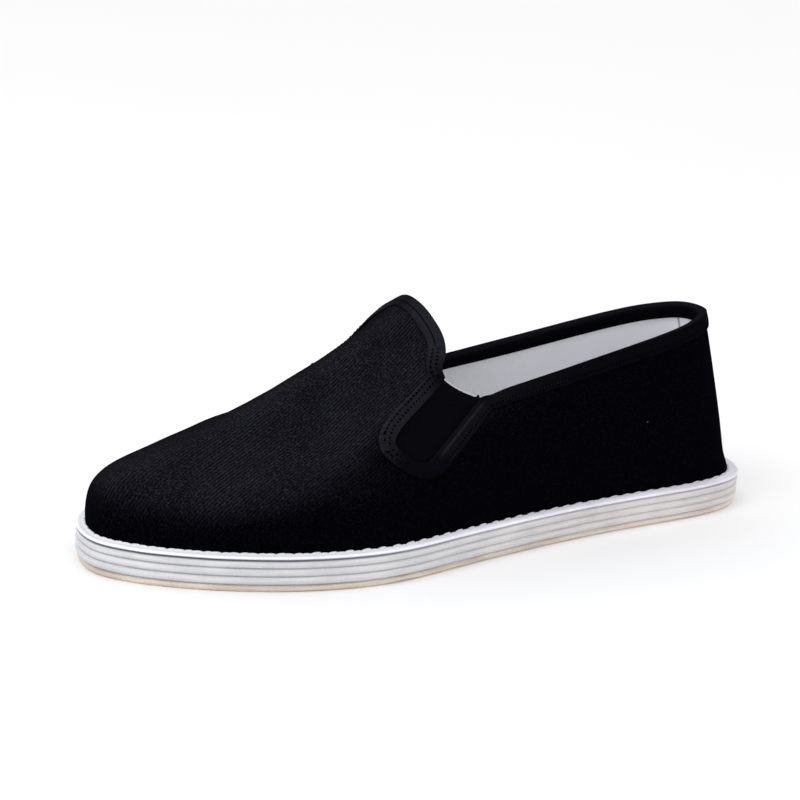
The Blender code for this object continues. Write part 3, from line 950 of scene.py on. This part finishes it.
def row_of(name, pattern, beads, finish):
    """One piece made of a copy of the pattern at every bead's matrix."""
    points = np.array([vert.co for vert in pattern.vertices])
    faces = [np.array(polygon.vertices) for polygon in pattern.polygons]
    placed = [points @ m[:3, :3].T + m[:3, 3] for m in beads]
    copies = [(face + k * len(points)).tolist() for k in range(len(beads)) for face in faces]
    mesh = bpy.data.meshes.new(name)
    mesh.from_pydata(np.concatenate(placed).tolist(), [], copies)
    mesh.materials.append(finish.material)
    mesh.shade_smooth()
    piece = bpy.data.objects.new(name, mesh)
    bpy.context.scene.collection.objects.link(piece)
    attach(piece, "root")
    return piece


tape_surface = surface_of(collar)
stitches = []
for row, spans, shift in ((ROW_NEAR, double_row, 0.0), (ROW_FAR, both_rows, 0.5)):
    for k in range(int(rim_line.length / NEEDLE_PITCH)):
        mark = (k + shift) * NEEDLE_PITCH
        if share_within(rim_line, spans, mark) < 0.5:
            continue
        point, ahead, out = rim_line.at(mark)
        spot = point + down_from_rim(ahead, out) * row + out * 0.6 * MM
        centre, normal, _, away = tape_surface.find_nearest(spot)
        if away > STITCH_REACH:
            continue
        stitches.append(bead(centre, ahead, normal, *STITCH_SIZE))
follow_folds(row_of("tape_stitches", FINE_BALL, stitches, black_thread))
follow_folds(collar)
print("stitches on the tape:", len(stitches))

# %% [markdown]
# The sole is a stack of cloth layers. Each one is several plies pasted together, with a strip of white
# cloth wrapped over its edge, so the edge is plump and a little uneven, and its colour shifts from the
# toe to the heel. One finish, tinted for each layer, serves them all, and painted shade darkens the
# grooves between them. Shade painted by hand would sit better in one view, but would have to be painted
# again for each.

# %% White cloth finishes
def white_cloth(name, toe_light, toe_dark, heel_light, heel_dark, grooves=()):
    """Cotton whose colour shifts from one tint at the toe to another at the heel, with streaks where
    plies lie along the edge.

    Each groove is a height, half its width and how much of the colour its painted shade takes away.
    """
    finish = Finish(name, 0.95, specular_ior_level=0.1)
    spot = finish.place()
    to_heel = finish.axis(spot, 1).between(-0.09, 0.12)
    cloud = finish.grain(spot, 22 * MM, 4.0)
    streak = finish.grain(finish.turned(spot, scale=(0.09, 0.09, 2.2)), 1.5 * MM, 3.0)
    fibre = finish.grain(spot, 0.6 * MM, 2.0)
    tone = cloud * 0.4 + streak * 0.4 + fibre * 0.2
    share = tone.between(0.36, 0.64)
    toe = finish.mix(share, toe_dark, toe_light)
    heel = finish.mix(share, heel_dark, heel_light)
    colour = finish.mix(to_heel, toe, heel)
    height = finish.axis(spot, 2) + (cloud - 0.5) * (0.5 * MM)
    fading = 1 - finish.axis(spot, 1).between(-0.10, 0.03) * 0.8
    for level, half_width, shade_depth in grooves:
        near = 1 - (height - level).unsigned().between(half_width * 0.35, half_width)
        # Painted shade in the grooves between the layers, weaker towards the heel.
        colour = finish.mix(near * fading * shade_depth, colour, rgb(0.10, 0.095, 0.125))
    finish.feed("Base Color", colour)
    finish.relief(streak * 0.5 + fibre * 0.5, 0.18 * MM)
    return finish


UNDER_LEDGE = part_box("welt")[0].z
SEAMS_BELOW = [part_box(f"midsole_layer_{level}")[0].z for level in (1, 2, 3)]
GROOVE_SHADE = [(UNDER_LEDGE, 0.75 * MM, 0.8)] + [(level, 0.55 * MM, 0.25) for level in SEAMS_BELOW]

welt_cloth = white_cloth(
    "white_welt_cloth",
    rgb(0.93, 0.93, 0.99),
    rgb(0.80, 0.81, 0.88),
    rgb(0.84, 0.82, 0.89),
    rgb(0.68, 0.66, 0.73),
    GROOVE_SHADE[:1],
)
layer_cloth = white_cloth(
    "white_sole_cloth",
    rgb(0.69, 0.69, 0.70),
    rgb(0.55, 0.55, 0.565),
    rgb(0.73, 0.69, 0.68),
    rgb(0.56, 0.53, 0.52),
    GROOVE_SHADE,
)
outsole_cloth = white_cloth(
    "outsole_cloth",
    rgb(0.74, 0.67, 0.58),
    rgb(0.53, 0.44, 0.36),
    rgb(0.80, 0.73, 0.65),
    rgb(0.58, 0.49, 0.42),
    GROOVE_SHADE[1:2],
)
insole_cloth = white_cloth(
    "white_insole_cloth",
    rgb(0.82, 0.81, 0.82),
    rgb(0.72, 0.71, 0.72),
    rgb(0.80, 0.79, 0.79),
    rgb(0.68, 0.67, 0.67),
)
print("ledge stands on", round(UNDER_LEDGE / MM, 2), "mm, grooves below:", len(SEAMS_BELOW))


# %% [markdown]
# The frame's solid gives each layer its true outline. Insetting the flat faces holds their rims in place,
# and subdividing then rounds the edge as wrapped cloth is round. The middle layers swell a little towards
# their neighbours, and slow noise makes every edge wander in its own way. A tube swept along the outline
# would be rounder, but would leave the top and the underside to be filled.

# %% Sole layers
CAP_FACE = 0.99
EDGE_INSETS = (0.6 * MM, 6.0 * MM)
LONG_WAVES, SHORT_WAVES = 0.06, 0.22
ON_THE_EDGE = 0.3


def sole_layer(node, name, finish, swell, unevenness, seed):
    """A cloth layer of the sole, rounded, swollen a little towards its neighbours and uneven."""
    work = welded_copy(node)
    for way in (-1, 1):
        cap = [face for face in work.faces if face.normal.z * way > CAP_FACE]
        for inset in EDGE_INSETS:
            bmesh.ops.inset_region(work, faces=cap, thickness=inset, use_even_offset=True)
    piece = add_piece(name, work, [finish])
    mesh = subdivide(piece, 2, 0.0)
    low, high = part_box(node)
    middle = (low.z + high.z) / 2
    grow = 1 + 2 * swell * MM / (high.z - low.z)
    start = Vector((0, 0, seed))
    sideways = [Vector((vert.normal.x, vert.normal.y, 0)) for vert in mesh.vertices]
    for vert, side in zip(mesh.vertices, sideways):
        spot = Vector((vert.co.x, vert.co.y, 0)) / MM
        wave = noise.noise(spot * LONG_WAVES + start) + 0.5 * noise.noise(spot * SHORT_WAVES + start)
        vert.co.z = middle + (vert.co.z - middle) * grow
        vert.co += side * wave * unevenness * MM
        if side.length > ON_THE_EDGE:
            vert.co.z += wave * 0.35 * unevenness * MM
    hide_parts(node)


sole_layer("outsole", "outsole_bottom", outsole_cloth, 0.0, 0.25, 3.1)
for level in (1, 2, 3):
    node, name = f"midsole_layer_{level}", f"sole_layer_{level}"
    sole_layer(node, name, layer_cloth, 0.24, 0.28, 7.3 * level)
sole_layer("welt", "welt_ledge", welt_cloth, 0.0, 0.22, 41.7)
sole_layer("insole", "insole_bed", insole_cloth, 0.0, 0.1, 53.9)
print("sole layers dressed")

# %% [markdown]
# Thick white cotton thread sews the upper to the sole. It comes up through the ledge and goes down
# again through the foot of the twill, so each stitch is a plump slanting lump that bites over the black,
# with a lower lump between where the cloth is drawn up. One thread run up and down would be truer, but
# only its lumps are seen.

# %% Sewing along the foot
SEWING_PITCH = 6.0 * MM
THREAD_WIDTH = 1.3 * MM
STITCH_HEIGHT = 1.45 * MM
HUMP_LENGTH = 4.2 * MM
SLANT = 0.14
UP = Vector((0, 0, 1))

white_thread = Finish("white_sewing_thread", 0.9, specular_ior_level=0.15)
strand = white_thread.grain(white_thread.place(), 0.8 * MM, 3.0)
# The thread's colour is darker towards the heel.
heel_share = white_thread.axis(white_thread.place(), 1).between(-0.08, 0.03)
thread_at_toe = white_thread.mix(strand, rgb(0.62, 0.62, 0.67), rgb(0.86, 0.86, 0.90))
thread_at_heel = white_thread.mix(strand, rgb(0.36, 0.36, 0.40), rgb(0.68, 0.67, 0.71))
white_thread.feed("Base Color", white_thread.mix(heel_share, thread_at_toe, thread_at_heel))
white_thread.relief(strand, 0.2 * MM)

welt_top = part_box("welt")[1].z
sewing = []
for k, mark in enumerate(foot_line.even(SEWING_PITCH)):
    wander_along = noise.noise(Vector((k * 0.9, 0.3, 0)))
    wander_up = noise.noise(Vector((0.7, k * 0.9, 0)))
    point, ahead, out = foot_line.at(mark + wander_along * 0.5 * MM)
    out = Vector((out.x, out.y, 0)).normalized()
    towards_heel = ahead if ahead.y > 0 else -ahead
    slant = (towards_heel + UP * SLANT).normalized()
    middle_height = welt_top + (0.1 + 0.15 * wander_up) * MM
    at_toe = share_between(-55 * MM, -95 * MM, point.y)
    at_heel = share_between(0, 60 * MM, point.y)
    spot = point + out * 0.35 * MM
    spot.z = middle_height - (0.2 * at_toe + 0.2 * at_heel) * MM
    long = (3.8 + 0.5 * wander_up + 1.2 * at_heel) * MM
    sewing.append(bead(spot, slant, out, long, THREAD_WIDTH, STITCH_HEIGHT))
    point, ahead, out = foot_line.at(mark + SEWING_PITCH / 2)
    out = Vector((out.x, out.y, 0)).normalized()
    spot = point + out * 0.45 * MM
    spot.z = welt_top + (0.2 * at_toe - 0.25) * MM
    hump_height = (0.9 + 0.2 * at_toe) * MM
    sewing.append(bead(spot, ahead, out, HUMP_LENGTH, THREAD_WIDTH, hump_height))
row_of("foot_sewing", THICK_BALL, sewing, white_thread)
print("stitches along the foot:", len(foot_line.even(SEWING_PITCH)))

# %% [markdown]
# Each notch is filled by a panel of fine ribbed elastic, lined behind with white cotton. The lining's
# folded edge is a thin white cord along the panel's top, a black cord inside the notch closes the seam,
# and a small tight knot holds the corner at the back. Both cords are rows of overlapping beads, because
# the stitches have already made the pattern. A curve with a round profile would do as well.

# %% Elastic panels
WEB_RIB = 0.9 * MM
ACROSS_THE_WEB = (0.0, 0.86, 0.5)

elastic = Finish("black_elastic", 0.85, specular_ior_level=0.0, sheen_weight=0.004)
elastic_flat = elastic.place()
web_noise = elastic.grain(elastic_flat, 0.8 * MM, 3.0)
dot_product = {"operation": "DOT_PRODUCT"}
directions = {0: elastic_flat, 1: ACROSS_THE_WEB}
web_along = elastic.add("ShaderNodeVectorMath", dot_product, directions, "Value")
web_ribs = (web_along * (2 * math.pi / WEB_RIB)).sine() * 0.5 + 0.5
web = web_noise * 0.5 + web_ribs * 0.5
web_dark, web_light = rgb(0.0004, 0.0004, 0.0011), rgb(0.0046, 0.0044, 0.0072)
elastic.feed("Base Color", elastic.mix(web, web_dark, web_light))
elastic.relief(web_ribs * 0.6 + web_noise * 0.5, 0.2 * MM)

EDGE_FRONT, EDGE_BACK, EDGE_STEP = -17 * MM, 2.2 * MM, 0.4 * MM
EDGE_WINDOW = 1.2 * MM
EDGE_SMOOTHINGS = 6


def top_edge(piece):
    """Points along the panel's upper edge between the tongue and the collar, smoothed."""
    places = points_of(piece.data)
    found = []
    for y in np.arange(EDGE_FRONT, EDGE_BACK, EDGE_STEP):
        near = places[abs(places[:, 1] - y) < EDGE_WINDOW]
        found.append(near[near[:, 2].argmax()])
    found = np.array(found)
    for _ in range(EDGE_SMOOTHINGS):
        found[1:-1] = (found[:-2] + found[1:-1] * 2 + found[2:]) / 4
    return [Vector(point) for point in found]


cord_cloth = Finish("black_seam_cord", 0.9, specular_ior_level=0.0)
cord_nap = cord_cloth.grain(cord_cloth.place(), 0.8 * MM, 3.0)
cord_dark, cord_light = rgb(0.0005, 0.0005, 0.0012), rgb(0.005, 0.005, 0.0075)
cord_cloth.feed("Base Color", cord_cloth.mix(cord_nap, cord_dark, cord_light))

LINING_BEAD = (1.9 * MM, 0.6 * MM, 0.7 * MM)
KNOT_SIZE = (2.4 * MM, 1.4 * MM, 1.2 * MM)
CORD_BEAD = (2.2 * MM, 1.9 * MM, 1.5 * MM)
CORD_STEP = 0.7 * MM

lining_edge, knots = [], []
for side, way in (("outer", 1), ("inner", -1)):
    node = f"elastic_{side}_side"
    panel = add_piece(f"{side}_elastic", welded_copy(node), [elastic])
    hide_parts(node)
    subdivide(panel, 2)
    follow_folds(panel)
    edge = top_edge(panel)
    outwards = Vector((way, 0, 0))
    for before, after in zip(edge, edge[1:]):
        spot = (before + after) / 2 + Vector((-0.1 * way, 0, 0.25)) * MM
        lining_edge.append(bead(spot, (after - before).normalized(), outwards, *LINING_BEAD))
    knots.append(bead(edge[-1] + outwards * 0.6 * MM, UP, outwards, *KNOT_SIZE))
    print(side, "elastic has", len(panel.data.polygons), "faces, top edge ends at", edge[0], edge[-1])
seam_cord = []
notch = [(TONGUE_CORNER, NOTCH_LOW), (NOTCH_LOW, NOTCH_CORNER)]
for start, reach in spans_along(rim_line, notch):
    for mark in np.arange(start, start + reach, CORD_STEP):
        point, ahead, out = rim_line.at(mark)
        spot = point - out * 1.0 * MM - down_from_rim(ahead, out) * 0.5 * MM
        seam_cord.append(bead(spot, ahead, out, *CORD_BEAD))
follow_folds(row_of("notch_seam_cord", FINE_BALL, seam_cord, cord_cloth))
row_of("elastic_lining_edge", FINE_BALL, lining_edge, white_thread)
row_of("elastic_corner_knots", THICK_BALL, knots, black_thread)
